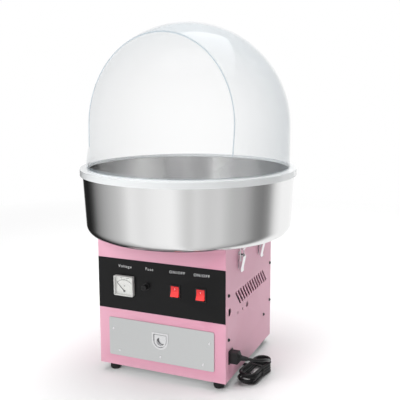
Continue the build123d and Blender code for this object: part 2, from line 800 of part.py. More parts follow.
with BuildPart() as bowl_catches:
    for side in sides.values():
        for y in latch_y.values():
            with BuildSketch(Plane.XZ.offset(-(y - 8))):
                with BuildLine():
                    Polyline((side * 184, box_top), (side * (catch_plate_x - 1.5), box_top),
                             (side * (catch_plate_x - 1.5), catch_ledge_z - 2),
                             (side * (catch_lip_x + 1.5), catch_ledge_z - 2),
                             (side * (catch_lip_x + 1.5), catch_ledge_z + 1.3),
                             (side * catch_lip_x, catch_ledge_z + 1.3), (side * catch_lip_x, catch_ledge_z),
                             (side * catch_plate_x, catch_ledge_z), (side * catch_plate_x, catch_foot_z),
                             (side * 184, catch_foot_z), close=True)
                make_face()
            extrude(amount=-16)
bowl_catches.part.label = "bowl_catches"
export_step(bowl_catches.part, "parts/bowl_catches.step")

base_t = 1.5
ear_in, ear_out = 6.0, 7.5
with BuildPart() as latch_bases:
    for side in sides.values():
        for y in latch_y.values():
            with BuildSketch(Plane.YZ.offset(side * side_x)):
                with Locations((y, 288.5)):
                    RectangleRounded(15, 40, 3)
                with Locations((y, latch_rivet_z[0]), (y, latch_rivet_z[1])):
                    Circle(rivet_r, mode=Mode.SUBTRACT)
            extrude(amount=side * base_t)
            for ear in (-1, 1):
                with BuildSketch(Plane.XZ.offset(-(y + ear * ear_in))):
                    with BuildLine():
                        Polyline((side * side_x, latch_pivot_z - 8), (side * latch_pivot_x, latch_pivot_z - 3.2),
                                 (side * latch_pivot_x, latch_pivot_z + 3.2), (side * side_x, latch_pivot_z + 5),
                                 close=True)
                    make_face()
                    with Locations((side * latch_pivot_x, latch_pivot_z)):
                        Circle(3.2)
                extrude(amount=-ear * (ear_out - ear_in))
            with BuildSketch(Plane.XZ.offset(-(y - 9.4))):
                with Locations((side * latch_pivot_x, latch_pivot_z)):
                    Circle(1.5)
            extrude(amount=-18.8)
latch_bases.part.label = "latch_bases"
export_step(latch_bases.part, "parts/latch_bases.step")

with BuildPart() as latch_rivets:
    for side in sides.values():
        with BuildSketch(Plane.YZ.offset(side * (side_x + base_t))):
            with Locations(*latch_rivet_points):
                Circle(2.8)
        extrude(amount=side * 0.9)
        with BuildSketch(Plane.YZ.offset(side * (side_x + base_t))):
            with Locations(*latch_rivet_points):
                Circle(rivet_r)
        extrude(amount=-side * 4.2)
latch_rivets.part.label = "latch_rivets"
export_step(latch_rivets.part, "parts/latch_rivets.step")


def latch_lever(side, y):
    """Channel lever: two cheeks outside the base's ears and a web that tapers down to a bent tip."""
    px, pz = latch_pivot_x, latch_pivot_z
    with BuildPart() as shape:
        for cheek in (-1, 1):
            with BuildSketch(Plane.XZ.offset(-(y + cheek * 8.0))):
                with BuildLine():
                    Polyline((side * (px - 4.4), pz), (side * (px - 4.0), pz - 14), (side * (px - 3.4), pz - 31),
                             (side * (px - 1.4), pz - 31), (side * (px + 5.0), pz - 2), (side * (px + 5.0), pz),
                             close=True)
                make_face()
                with Locations((side * px, pz)):
                    Circle(4.4)
                with Locations((side * px, pz)):
                    Circle(1.55, mode=Mode.SUBTRACT)
                with Locations((side * px, pz - bail_crank)):
                    Circle(bail_wire_r + 0.05, mode=Mode.SUBTRACT)
            extrude(amount=-cheek * 1.5)
        with BuildSketch(Plane.XZ.offset(-(y - 9.5))):
            with BuildLine():
                Polyline((side * (px + 5.0), pz + 1), (side * (px + 5.0), pz - 2), (side * (px - 1.4), pz - 31),
                         (side * (px + 0.6), pz - 36), (side * (px + 2.2), pz - 36), (side * (px + 0.4), pz - 31),
                         (side * (px + 6.5), pz - 2), (side * (px + 6.5), pz + 1), close=True)
            make_face()
        extrude(amount=-19)
    return shape.part


def latch_bail(side, y):
    """Bent wire bail: in-turned pivots below, two arms outside the lever's cheeks, the bar on top."""
    px = side * latch_pivot_x
    low = latch_pivot_z - bail_crank
    high = low + bail_length
    with BuildPart() as shape:
        with BuildLine() as wire_path:
            FilletPolyline((px, y - 8.2, low), (px, y - 11.6, low), (px, y - 11.6, high), (px, y + 11.6, high),
                           (px, y + 11.6, low), (px, y + 8.2, low), radius=2.0)
        with BuildSketch(Plane(origin=(px, y - 8.2, low), z_dir=(0, -1, 0))):
            Circle(bail_wire_r)
        sweep(path=wire_path.wires()[0])
    return shape.part


for side_name, side in sides.items():
    for row, y in latch_y.items():
        lever_part = latch_lever(side, y)
        lever_part.label = f"latch_lever_{side_name}_{row}"
        export_step(lever_part, f"parts/latch_lever_{side_name}_{row}.step")
        bail_part = latch_bail(side, y)
        bail_part.label = f"latch_bail_{side_name}_{row}"
        export_step(bail_part, f"parts/latch_bail_{side_name}_{row}.step")

# ---------------------------------------------------------------- dome
dome_inner = dome_r - dome_wall
cut_direction = Vector(0, -1, 0).rotate(Axis.X, -cut_tilt).rotate(Axis.Z, -cut_yaw)
cut_across = Vector(0, 0, 1).cross(cut_direction).normalized()
cut_plane = Plane(origin=Vector(0, 0, flange_top) + cut_direction * cut_offset, x_dir=cut_across,
                  z_dir=cut_direction)

with BuildPart() as dome:
    with BuildSketch(Plane.XZ):
        with BuildLine():
            Line((dome_r, flange_top), (dome_r, dome_straight_top))
            CenterArc((0, dome_straight_top), dome_r, 0, 90)
            Line((0, total_height), (0, total_height - dome_wall))
            CenterArc((0, dome_straight_top), dome_inner, 0, 90)
            Polyline((dome_inner, dome_straight_top), (dome_inner, flange_low),
                     (flange_r - dome_wall, flange_low), (flange_r - dome_wall, skirt_low),
                     (flange_r, skirt_low), (flange_r, flange_top), (dome_r, flange_top))
        make_face()
    revolve(axis=Axis.Z)
    with BuildSketch(cut_plane):
        with Locations((0, 250)):
            RectangleRounded(430, 500, cut_corner_r)
    extrude(amount=200, dir=(cut_direction.X, cut_direction.Y, 0), mode=Mode.SUBTRACT)
dome.part.label = "dome"
export_step(dome.part, "parts/dome.step")

# ---------------------------------------------------------------- mains inlet, cord and plug
with BuildPart() as power_inlet:
    with BuildSketch(right_plane):
        with Locations((inlet_y, inlet_z)):
            RectangleRounded(25, 32, 2)
    extrude(amount=2)
    with BuildSketch(right_plane):
        with Locations((inlet_y, inlet_z)):
            Rectangle(20, 27)
    extrude(amount=-18)
    with BuildSketch(Plane.YZ.offset(side_x + 2)):
        with Locations((inlet_y, inlet_z)):
            Rectangle(17, 24)
    extrude(amount=-18, mode=Mode.SUBTRACT)
    with BuildSketch(Plane.YZ.offset(side_x - 16)):
        with Locations((inlet_y - 2, inlet_z - 6), (inlet_y - 2, inlet_z + 6), (inlet_y + 3, inlet_z)):
            Rectangle(4, 2)
    extrude(amount=12)
power_inlet.part.label = "power_inlet"
export_step(power_inlet.part, "parts/power_inlet.step")

connector_end = side_x + 26
relief_end = 204.0
with BuildPart() as cord_connector:
    with BuildSketch(Plane.YZ.offset(side_x + 2)):
        with Locations((inlet_y, inlet_z)):
            RectangleRounded(21, 28, 3)
    extrude(amount=18)
    with BuildSketch(Plane.YZ.offset(side_x + 20)):
        with Locations((inlet_y, inlet_z)):
            RectangleRounded(21, 28, 3)
    with BuildSketch(Plane.YZ.offset(connector_end)):
        with Locations((inlet_y, inlet_z)):
            Circle(6.5)
    loft()
    with BuildSketch(Plane.YZ.offset(connector_end)):
        with Locations((inlet_y, inlet_z)):
            Circle(6.5)
    with BuildSketch(Plane.YZ.offset(relief_end)):
        with Locations((inlet_y, inlet_z)):
            Circle(4.4)
    loft()
    with BuildSketch(Plane.YZ.offset(side_x + 2)):
        with Locations((inlet_y, inlet_z)):
            Rectangle(16, 23)
    extrude(amount=-9)
    with BuildSketch(Plane.YZ.offset(side_x - 7)):
        with Locations((inlet_y - 2, inlet_z - 6), (inlet_y - 2, inlet_z + 6), (inlet_y + 3, inlet_z)):
            Rectangle(4.6, 2.6)
    extrude(amount=4, mode=Mode.SUBTRACT)
cord_connector.part.label = "cord_connector"
export_step(cord_connector.part, "parts/cord_connector.step")


def cord_tube(name, route):
    """Straight runs joined by tangent arcs, as large as the two runs at each corner allow."""
    points = [Vector(*p) for p in route]
    radii = []
    for before, here, after in zip(points, points[1:], points[2:]):
        turn = (here - before).get_angle(after - here)
        run = min((here - before).length, (after - here).length)
        radii.append(0.45 * run / math.tan(math.radians(turn / 2)))
    with BuildPart() as shape:
        with BuildLine() as path:
            FilletPolyline(*points, radius=radii)
        with BuildSketch(Plane(origin=points[0], z_dir=points[1] - points[0])):
            Circle(cord_r)
        sweep()
    length = path.wires()[0].length
    print(name, "radii", [round(r) for r in radii], "length", round(length),
          "volume ratio", round(shape.part.volume / (math.pi * cord_r**2 * length), 4))
    return shape.part


lead_route = [(204, -133, 76), (219, -133, 76), (234, -123, 74), (239, -106, 69), (237, -84, 59),
              (230, -60, 46), (222, -38, 36), (211, -17, 27.5)]
cord_lead = cord_tube("lead", lead_route)
cord_lead.label = "cord_lead"
export_step(cord_lead, "parts/cord_lead.step")

hank_mid = (196.2, -56.8)
hank_length, hank_width, hank_height, hank_turn = 122.0, 50.0, 34.4, 80.4
with BuildPart() as cord_hank:
    with BuildSketch(Plane.XY.offset(0.1)):
        with Locations(hank_mid):
            SlotOverall(hank_length, hank_width, rotation=hank_turn)
    extrude(amount=hank_height)
    fillet(cord_hank.edges().group_by(Axis.Z)[-1], 6)
cord_hank.part.label = "cord_hank"
export_step(cord_hank.part, "parts/cord_hank.step")

cord_z = cord_r + 0.2
tail_route = [(199, -3, cord_z), (160, -10, cord_z), (118, -8, cord_z), (76, 8, cord_z), (50, 48, cord_z),
              (52, 95, cord_z), (72, 130, cord_z), (76, 165, cord_z), (66, 192, 7), (60, 224, 15)]
cord_tail = cord_tube("tail", tail_route)
cord_tail.label = "cord_tail"
export_step(cord_tail, "parts/cord_tail.step")

plug_axis = (Vector(*tail_route[-1]) - Vector(*tail_route[-2])).normalized()
plug_start = Vector(*tail_route[-1])
plug_flat = Vector(plug_axis.X, plug_axis.Y, 0).normalized()
relief_top = plug_start + plug_axis * 22
plug_centre_z = 18.2
plug_base = Vector(relief_top.X, relief_top.Y, plug_centre_z)
with BuildPart() as mains_plug:
    with BuildSketch(Plane(origin=plug_start, z_dir=plug_axis)):
        Circle(4.2)
    with BuildSketch(Plane(origin=plug_base, z_dir=plug_flat)):
        Circle(8)
    loft()
    with BuildSketch(Plane(origin=plug_base, z_dir=plug_flat)):
        Circle(11)
    with BuildSketch(Plane(origin=plug_base + plug_flat * 14, z_dir=plug_flat)):
        Circle(18)
    loft()
    with BuildSketch(Plane(origin=plug_base + plug_flat * 14, z_dir=plug_flat)):
        Circle(18)
    extrude(amount=14)
    with BuildSketch(Plane(origin=plug_base + plug_flat * 28, x_dir=(plug_flat.Y, -plug_flat.X, 0),
                           z_dir=plug_flat)):
        with GridLocations(19, 1, 2, 1):
            Circle(2.4)
    extrude(amount=19)
mains_plug.part.label = "mains_plug"
export_step(mains_plug.part, "parts/mains_plug.step")
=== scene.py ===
import bpy
import math
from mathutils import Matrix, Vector


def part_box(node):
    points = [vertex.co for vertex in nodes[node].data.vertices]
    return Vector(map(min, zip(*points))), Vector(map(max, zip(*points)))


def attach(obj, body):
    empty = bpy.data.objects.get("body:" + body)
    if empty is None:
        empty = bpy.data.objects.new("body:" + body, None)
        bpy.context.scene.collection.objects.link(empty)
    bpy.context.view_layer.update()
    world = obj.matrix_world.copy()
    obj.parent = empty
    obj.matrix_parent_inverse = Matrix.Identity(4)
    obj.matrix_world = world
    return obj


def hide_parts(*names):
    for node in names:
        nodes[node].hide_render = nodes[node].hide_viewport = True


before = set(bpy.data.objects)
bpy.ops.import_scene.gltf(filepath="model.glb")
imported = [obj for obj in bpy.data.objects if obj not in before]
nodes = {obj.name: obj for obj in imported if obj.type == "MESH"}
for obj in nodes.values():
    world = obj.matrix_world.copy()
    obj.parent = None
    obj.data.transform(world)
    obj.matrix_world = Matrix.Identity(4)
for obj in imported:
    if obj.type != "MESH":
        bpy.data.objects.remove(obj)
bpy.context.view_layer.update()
mm = 0.001
bevelAngle, smoothAngle = math.radians(35), math.radians(40)
mergeReach = 0.00001
print("frame loaded:", len(nodes), "nodes")


# ---- small helpers

def deselectAll():
    if bpy.context.object and bpy.context.object.mode != "OBJECT":
        bpy.ops.object.mode_set(mode="OBJECT")
    bpy.ops.object.select_all(action="DESELECT")


def makeActive(piece):
    deselectAll()
    piece.select_set(True)
    bpy.context.view_layer.objects.active = piece


def nameActive(name):
    piece = bpy.context.object
    piece.name = name
    piece.data.name = name
    return piece


def freezePlace(piece):
    makeActive(piece)
    bpy.ops.object.transform_apply(location=True, rotation=True, scale=True)


def applyModifiers(piece):
    makeActive(piece)
    for modifier in list(piece.modifiers):
        bpy.ops.object.modifier_apply(modifier=modifier.name)


def addBevel(piece, width, segments=2):
    modifier = piece.modifiers.new("softEdge", "BEVEL")
    modifier.width = width
    modifier.segments = segments
    modifier.limit_method = "ANGLE"
    modifier.angle_limit = bevelAngle
    applyModifiers(piece)


def smoothByAngle(piece):
    makeActive(piece)
    bpy.ops.object.shade_smooth_by_angle(angle=smoothAngle)


def deletePiece(piece):
    makeActive(piece)
    bpy.ops.object.delete()


def joinPieces(pieces, name):
    deselectAll()
    for piece in pieces:
        piece.select_set(True)
    bpy.context.view_layer.objects.active = pieces[0]
    bpy.ops.object.join()
    joined = nameActive(name)
    freezePlace(joined)
    return joined


def finishPiece(piece, body, material, *replaced):
    piece.data.materials.clear()
    piece.data.materials.append(material)
    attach(piece, body)
    if replaced:
        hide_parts(*replaced)


def turnedShell(name, outline, steps):
    # outline is a closed loop of (radius, height) turned about the Z axis
    mesh = bpy.data.meshes.new(name)
    count = len(outline)
    mesh.from_pydata([(r, 0, z) for r, z in outline], [(i, (i + 1) % count) for i in range(count)], [])
    piece = bpy.data.objects.new(name, mesh)
    bpy.context.scene.collection.objects.link(piece)
    screw = piece.modifiers.new("turn", "SCREW")
    screw.steps = steps
    screw.render_steps = steps
    screw.use_merge_vertices = True
    screw.merge_threshold = mergeReach
    applyModifiers(piece)
    bpy.ops.object.mode_set(mode="EDIT")
    bpy.ops.mesh.select_all(action="SELECT")
    bpy.ops.mesh.remove_doubles(threshold=mergeReach)
    bpy.ops.mesh.normals_make_consistent(inside=False)
    bpy.ops.object.mode_set(mode="OBJECT")
    return piece


def arcPoints(centre, radius, start, end, count):
    # points on an arc in the (radius, height) plane, angles in degrees
    points = []
    for i in range(count + 1):
        angle = math.radians(start + (end - start) * i / count)
        points.append((centre[0] + radius * math.cos(angle), centre[1] + radius * math.sin(angle)))
    return points


# ---- shared effects, as node groups

def groupShell(name, inputs, outputs):
    group = bpy.data.node_groups.new(name, "ShaderNodeTree")
    for label, kind, value in inputs:
        socket = group.interface.new_socket(name=label, in_out="INPUT", socket_type=kind)
        if value is not None:
            socket.default_value = value
    for label, kind in outputs:
        group.interface.new_socket(name=label, in_out="OUTPUT", socket_type=kind)
    start = group.nodes.new("NodeGroupInput")
    end = group.nodes.new("NodeGroupOutput")
    return group, start, end


def plug(tree, value, socket):
    # value is another node's output, or a plain number, vector or colour
    if isinstance(value, bpy.types.NodeSocket):
        tree.links.new(value, socket)
    else:
        socket.default_value = value


def addMath(tree, operation, *values, kind="ShaderNodeMath", result="Value"):
    node = tree.nodes.new(kind)
    node.operation = operation
    for i, value in enumerate(values):
        plug(tree, value, node.inputs[i])
    return node.outputs[result]


def addRange(tree, source, low=0.0, high=1.0, toLow=0.0, toHigh=1.0):
    node = tree.nodes.new("ShaderNodeMapRange")
    for label, value in (("From Min", low), ("From Max", high), ("To Min", toLow), ("To Max", toHigh)):
        node.inputs[label].default_value = value
    tree.links.new(source, node.inputs["Value"])
    return node.outputs["Result"]


def addMix(tree, factor, first, second, kind="RGBA"):
    node = tree.nodes.new("ShaderNodeMix")
    node.data_type = kind
    for label, value in (("Factor", factor), ("A", first), ("B", second)):
        plug(tree, value, node.inputs[label])
    return node.outputs["Result"]


def makeEdgeWear():
    # lightens convex edges and mottles the colour a little
    group, start, end = groupShell("edgeWear", [
        ("Color", "NodeSocketColor", (0.5, 0.5, 0.5, 1)), ("Edge Color", "NodeSocketColor", (0.8, 0.8, 0.8, 1)),
        ("Wear", "NodeSocketFloat", 0.3), ("Mottle", "NodeSocketFloat", 0.04), ("Scale", "NodeSocketFloat", 40.0),
        ("Roughness", "NodeSocketFloat", 0.4)], [("Color", "NodeSocketColor"), ("Roughness", "NodeSocketFloat")])
    link = group.links.new
    place = group.nodes.new("ShaderNodeTexCoord")
    cloud = group.nodes.new("ShaderNodeTexNoise")
    cloud.inputs["Detail"].default_value = 6
    link(place.outputs["Object"], cloud.inputs["Vector"])
    link(start.outputs["Scale"], cloud.inputs["Scale"])
    geometry = group.nodes.new("ShaderNodeNewGeometry")
    sharp = addRange(group, geometry.outputs["Pointiness"], low=0.52, high=0.62)
    worn = addMath(group, "MULTIPLY", sharp, start.outputs["Wear"])
    shade = addRange(group, cloud.outputs["Fac"], toLow=-1)
    amount = addMath(group, "MULTIPLY_ADD", shade, start.outputs["Mottle"], 1)
    tone = group.nodes.new("ShaderNodeHueSaturation")
    link(start.outputs["Color"], tone.inputs["Color"])
    link(amount, tone.inputs["Value"])
    mixed = addMix(group, worn, tone.outputs["Color"], start.outputs["Edge Color"])
    rough = addMath(group, "MULTIPLY", amount, start.outputs["Roughness"])
    link(mixed, end.inputs["Color"])
    link(rough, end.inputs["Roughness"])
    return group


def makeGrain():
    # fine lines stretched along one direction, for brushed metal
    group, start, end = groupShell("brushedGrain", [
        ("Vector", "NodeSocketVector", None), ("Scale", "NodeSocketFloat", 60.0),
        ("Depth", "NodeSocketFloat", 0.15), ("Roughness", "NodeSocketFloat", 0.3)],
        [("Lines", "NodeSocketFloat"), ("Roughness", "NodeSocketFloat"), ("Normal", "NodeSocketVector")])
    link = group.links.new
    lines = group.nodes.new("ShaderNodeTexNoise")
    lines.inputs["Detail"].default_value = 5
    lines.inputs["Roughness"].default_value = 0.7
    link(start.outputs["Vector"], lines.inputs["Vector"])
    link(start.outputs["Scale"], lines.inputs["Scale"])
    spread = addRange(group, lines.outputs["Fac"], toLow=0.75, toHigh=1.25)
    rough = addMath(group, "MULTIPLY", spread, start.outputs["Roughness"])
    bump = group.nodes.new("ShaderNodeBump")
    bump.inputs["Distance"].default_value = 0.0002
    link(lines.outputs["Fac"], bump.inputs["Height"])
    link(start.outputs["Depth"], bump.inputs["Strength"])
    link(lines.outputs["Fac"], end.inputs["Lines"])
    link(rough, end.inputs["Roughness"])
    link(bump.outputs["Normal"], end.inputs["Normal"])
    return group


edgeWear = makeEdgeWear()
brushedGrain = makeGrain()


def newMaterial(name, **sockets):
    material = bpy.data.materials.new(name)
    material.use_nodes = True
    shader = material.node_tree.nodes["Principled BSDF"]
    for label, value in sockets.items():
        shader.inputs[label.replace("_", " ")].default_value = value
    return material, shader


def paintedMaterial(name, color, edge, roughness, wear=0.3, mottle=0.04, scale=40, bump=0.1, bumpScale=900,
                    **sockets):
    # colour with worn edges and a fine surface texture
    material, shader = newMaterial(name, **sockets)
    tree = material.node_tree
    wearNode = tree.nodes.new("ShaderNodeGroup")
    wearNode.node_tree = edgeWear
    for label, value in (("Color", (*color, 1)), ("Edge Color", (*edge, 1)), ("Wear", wear), ("Mottle", mottle),
                         ("Scale", scale), ("Roughness", roughness)):
        wearNode.inputs[label].default_value = value
    tree.links.new(wearNode.outputs["Color"], shader.inputs["Base Color"])
    tree.links.new(wearNode.outputs["Roughness"], shader.inputs["Roughness"])
    place = tree.nodes.new("ShaderNodeTexCoord")
    texture = tree.nodes.new("ShaderNodeTexNoise")
    texture.inputs["Scale"].default_value = bumpScale
    tree.links.new(place.outputs["Object"], texture.inputs["Vector"])
    relief = tree.nodes.new("ShaderNodeBump")
    relief.inputs["Strength"].default_value = bump
    relief.inputs["Distance"].default_value = 0.0003
    tree.links.new(texture.outputs["Fac"], relief.inputs["Height"])
    tree.links.new(relief.outputs["Normal"], shader.inputs["Normal"])
    return material


def brushedMaterial(name, light, dark, roughness, stretch, depth=0.12, wrapped=False, **sockets):
    # stretch scales the grain's coordinates; wrapped lays the grain round the Z axis
    material, shader = newMaterial(name, Metallic=1.0, **sockets)
    tree = material.node_tree
    link = tree.links.new
    place = tree.nodes.new("ShaderNodeTexCoord")
    source = place.outputs["Object"]
    if wrapped:
        apart = tree.nodes.new("ShaderNodeSeparateXYZ")
        link(source, apart.inputs["Vector"])
        turn = addMath(tree, "ARCTAN2", apart.outputs["Y"], apart.outputs["X"])
        flat = addMath(tree, "MULTIPLY", source, (1, 1, 0), kind="ShaderNodeVectorMath", result="Vector")
        reach = addMath(tree, "LENGTH", flat, kind="ShaderNodeVectorMath")
        rolled = tree.nodes.new("ShaderNodeCombineXYZ")
        for label, value in (("X", reach), ("Y", turn), ("Z", apart.outputs["Z"])):
            link(value, rolled.inputs[label])
        source = rolled.outputs["Vector"]
        tangent = tree.nodes.new("ShaderNodeTangent")
        tangent.direction_type = "RADIAL"
        tangent.axis = "Z"
        link(tangent.outputs["Tangent"], shader.inputs["Tangent"])
    mapping = tree.nodes.new("ShaderNodeMapping")
    mapping.inputs["Scale"].default_value = stretch
    link(source, mapping.inputs["Vector"])
    grain = tree.nodes.new("ShaderNodeGroup")
    grain.node_tree = brushedGrain
    grain.inputs["Roughness"].default_value = roughness
    grain.inputs["Depth"].default_value = depth
    link(mapping.outputs["Vector"], grain.inputs["Vector"])
    tint = addMix(tree, grain.outputs["Lines"], (*dark, 1), (*light, 1))
    link(tint, shader.inputs["Base Color"])
    link(grain.outputs["Roughness"], shader.inputs["Roughness"])
    link(grain.outputs["Normal"], shader.inputs["Normal"])
    return material


# ---- materials

pinkPaint = paintedMaterial("pinkPaint", (0.80, 0.36, 0.49), (0.90, 0.60, 0.70), 0.38, wear=0.5, mottle=0.02,
                            scale=9, bump=0.05, bumpScale=500, Specular_IOR_Level=0.22)
blackFilm = paintedMaterial("blackFilm", (0.004, 0.004, 0.0045), (0.03, 0.03, 0.03), 0.34, wear=0.2, mottle=0.2,
                            scale=60, bump=0.03, bumpScale=1400, Specular_IOR_Level=0.2)
blackPlastic = paintedMaterial("blackPlastic", (0.008, 0.008, 0.009), (0.05, 0.05, 0.05), 0.38, wear=0.4,
                               mottle=0.15, scale=70, bump=0.15, bumpScale=1600, Specular_IOR_Level=0.3)
whitePlastic = paintedMaterial("whitePlastic", (0.72, 0.72, 0.70), (0.85, 0.85, 0.84), 0.3, wear=0.2, mottle=0.03)
dialWhite = paintedMaterial("dialWhite", (0.82, 0.82, 0.79), (0.82, 0.82, 0.79), 0.5, wear=0.0, mottle=0.03)
inkBlack = paintedMaterial("inkBlack", (0.01, 0.01, 0.01), (0.01, 0.01, 0.01), 0.5, wear=0.0)
inkWhite = paintedMaterial("inkWhite", (0.72, 0.72, 0.72), (0.72, 0.72, 0.72), 0.5, wear=0.0)
blackRubber = paintedMaterial("blackRubber", (0.008, 0.008, 0.009), (0.04, 0.04, 0.04), 0.6, wear=0.4, mottle=0.25,
                              scale=90, bump=0.3, bumpScale=1200, Specular_IOR_Level=0.25)
cordJacket = paintedMaterial("cordJacket", (0.006, 0.006, 0.007), (0.03, 0.03, 0.03), 0.45, wear=0.1, mottle=0.2,
                             scale=120, bump=0.2, bumpScale=1500, Specular_IOR_Level=0.3)
darkSteel = paintedMaterial("darkSteel", (0.02, 0.018, 0.018), (0.2, 0.2, 0.2), 0.4, wear=0.5, mottle=0.2)
castGrey = paintedMaterial("castGrey", (0.22, 0.23, 0.25), (0.4, 0.4, 0.42), 0.5, wear=0.4, mottle=0.15,
                           bump=0.4, bumpScale=500)
carbonBlock = paintedMaterial("carbonBlock", (0.02, 0.02, 0.02), (0.06, 0.06, 0.06), 0.6)
bowlSteel = brushedMaterial("bowlSteel", (0.90, 0.90, 0.90), (0.76, 0.76, 0.76), 0.20, (14, 0.9, 40), depth=0.10,
                            wrapped=True, Anisotropic=0.75, Anisotropic_Rotation=0.25)
satinSteel = brushedMaterial("satinSteel", (0.72, 0.73, 0.73), (0.60, 0.61, 0.61), 0.46, (1.5, 1.5, 30), depth=0.06)
brightSteel = brushedMaterial("brightSteel", (0.85, 0.85, 0.86), (0.7, 0.7, 0.71), 0.18, (8, 8, 20), depth=0.05)
aluminiumCast = brushedMaterial("aluminiumCast", (0.78, 0.78, 0.79), (0.62, 0.62, 0.63), 0.36, (10, 1.5, 20),
                                depth=0.15, wrapped=True)
brassMetal = brushedMaterial("brassMetal", (0.8, 0.6, 0.25), (0.62, 0.45, 0.18), 0.25, (12, 1, 30), wrapped=True)


def placeApart(tree, label):
    # texture coordinates, whole and as X, Y and Z
    place = tree.nodes.new("ShaderNodeTexCoord")
    apart = tree.nodes.new("ShaderNodeSeparateXYZ")
    tree.links.new(place.outputs[label], apart.inputs["Vector"])
    return place.outputs, apart.outputs


def addRamp(tree, source, first, last):
    node = tree.nodes.new("ShaderNodeValToRGB")
    node.color_ramp.elements[0].color = (*first, 1)
    node.color_ramp.elements[1].color = (*last, 1)
    tree.links.new(source, node.inputs["Fac"])
    return node.outputs["Color"]


# heights over which the emission fades: the switch's own glow plus a painted highlight on the lower half
lensSpec = {"glowAndHighlightLow": 0.208, "glowAndHighlightHigh": 0.234, "cloud": 260}


def makeRedLens():
    # lit red plastic: the switch's own glow, with a painted highlight on the lower half where light falls on the half
    # that stands out, so the emission fades upwards
    material, shader = newMaterial("redLens", Roughness=0.2, Coat_Weight=0.5, Coat_Roughness=0.06,
                                   Emission_Strength=1.0)
    tree = material.node_tree
    place, apart = placeApart(tree, "Object")
    rise = addRange(tree, apart["Z"], lensSpec["glowAndHighlightLow"], lensSpec["glowAndHighlightHigh"])
    cloud = tree.nodes.new("ShaderNodeTexNoise")
    cloud.inputs["Scale"].default_value = lensSpec["cloud"]
    tree.links.new(place["Object"], cloud.inputs["Vector"])
    # painted highlight: the lower half emits more than the upper, on top of the switch's own glow
    glowAndHighlight = addRamp(tree, rise, (0.75, 0.035, 0.03), (0.16, 0.0, 0.002))
    tint = addRamp(tree, cloud.outputs["Fac"], (0.42, 0.0, 0.004), (0.60, 0.008, 0.01))
    tree.links.new(tint, shader.inputs["Base Color"])
    tree.links.new(glowAndHighlight, shader.inputs["Emission Color"])
    return material


# the direction is the way the front opening faces, and reach is how far off its edge lies
acrylicSpec = {"direction": (-0.199, -0.978, 0.06), "reach": 0.15, "edgeWidth": 0.03, "edgeFacing": 0.96,
               "flange": (0.4885, 0.4925), "blend": 0.3, "glance": 0.34}


def makeAcrylic(name, tint, edgeTint, opacity, edgeOpacity, cutEdge=False):
    # clear sheet: solid where it is seen edge on, at the flange and along the cut at the front
    material, shader = newMaterial(name, Roughness=0.04, IOR=1.49, Coat_Weight=0.5, Coat_Roughness=0.02)
    spec = acrylicSpec
    tree = material.node_tree
    place, apart = placeApart(tree, "Object")
    solid = addRange(tree, apart["Z"], *spec["flange"], 1, 0)
    mask = solid
    if cutEdge:
        vector = "ShaderNodeVectorMath"
        toward = addMath(tree, "DOT_PRODUCT", place["Normal"], spec["direction"], kind=vector)
        ahead = addMath(tree, "DOT_PRODUCT", place["Object"], spec["direction"], kind=vector)
        facing = addMath(tree, "GREATER_THAN", toward, spec["edgeFacing"])
        inFront = addMath(tree, "COMPARE", ahead, spec["reach"], spec["edgeWidth"])
        mask = addMath(tree, "MAXIMUM", mask, addMath(tree, "MULTIPLY", facing, inFront))
    colour = addMix(tree, solid, (*tint, 1), (*edgeTint, 1))
    tree.links.new(colour, shader.inputs["Base Color"])
    glance = tree.nodes.new("ShaderNodeLayerWeight")
    glance.inputs["Blend"].default_value = spec["blend"]
    thin = addMath(tree, "MULTIPLY_ADD", glance.outputs["Facing"], spec["glance"], opacity)
    alpha = addMix(tree, mask, thin, edgeOpacity, kind="FLOAT")
    tree.links.new(alpha, shader.inputs["Alpha"])
    return material


redLens = makeRedLens()
domeAcrylic = makeAcrylic("domeAcrylic", (0.48, 0.55, 0.60), (0.90, 0.92, 0.93), 0.02, 0.85, cutEdge=True)
windowAcrylic = makeAcrylic("windowAcrylic", (0.9, 0.93, 0.95), (0.9, 0.93, 0.95), 0.03, 0.03)
print("materials made")


# ---- camera, then the cord

cameraSpec = {"place": (0.668, -1.448, 0.693), "yaw": 22.55, "pitch": 8.2, "lens": 58.67,
              "shift": (-0.0347, -0.0601)}


def makeCamera():
    data = bpy.data.cameras.new("viewCamera")
    data.lens = cameraSpec["lens"]
    data.sensor_width = 36
    data.shift_x, data.shift_y = cameraSpec["shift"]
    camera = bpy.data.objects.new("viewCamera", data)
    bpy.context.scene.collection.objects.link(camera)
    yaw, pitch = math.radians(cameraSpec["yaw"]), math.radians(cameraSpec["pitch"])
    back = Vector((math.sin(yaw) * math.cos(pitch), -math.cos(yaw) * math.cos(pitch), math.sin(pitch)))
    camera.location = cameraSpec["place"]
    camera.rotation_mode = "QUATERNION"
    camera.rotation_quaternion = (-back).to_track_quat("-Z", "Y")
    bpy.context.scene.camera = camera


makeCamera()

# millimetres; lie is the height of a cord lying on the floor, and fold gives each turn's own reach, shift and fan
cordSpec = {"radius": 3.3, "foldRadius": 19.0, "dropPerTurn": 6.75, "top": 30.6, "lie": 3.6,
            "front": (190.8, -91.0), "rear": (202.0, -22.0), "arcPoints": 6, "stepAngle": 36, "lastPoints": 3,
            "sink": 0.06, "middleSink": 0.4, "waist": 0.82,
            "fold": [(0, 0, 0), (-4, 3.0, 1), (3, -2.5, -1.5), (-2, 1.0, -0.5)]}
leadRoute = [(204, -133, 76), (219, -133, 76), (234, -123, 74), (239, -106, 69), (237, -84, 59),
             (231, -60, 47), (224, -38, 38)]
tailPlan = [(192, -5), (160, -10), (118, -8), (76, 8), (50, 48), (52, 95), (72, 130), (76, 165)]
tailRoute = [(x, y, cordSpec["lie"]) for x, y in tailPlan] + [(66, 192, 7), (60, 224, 15)]


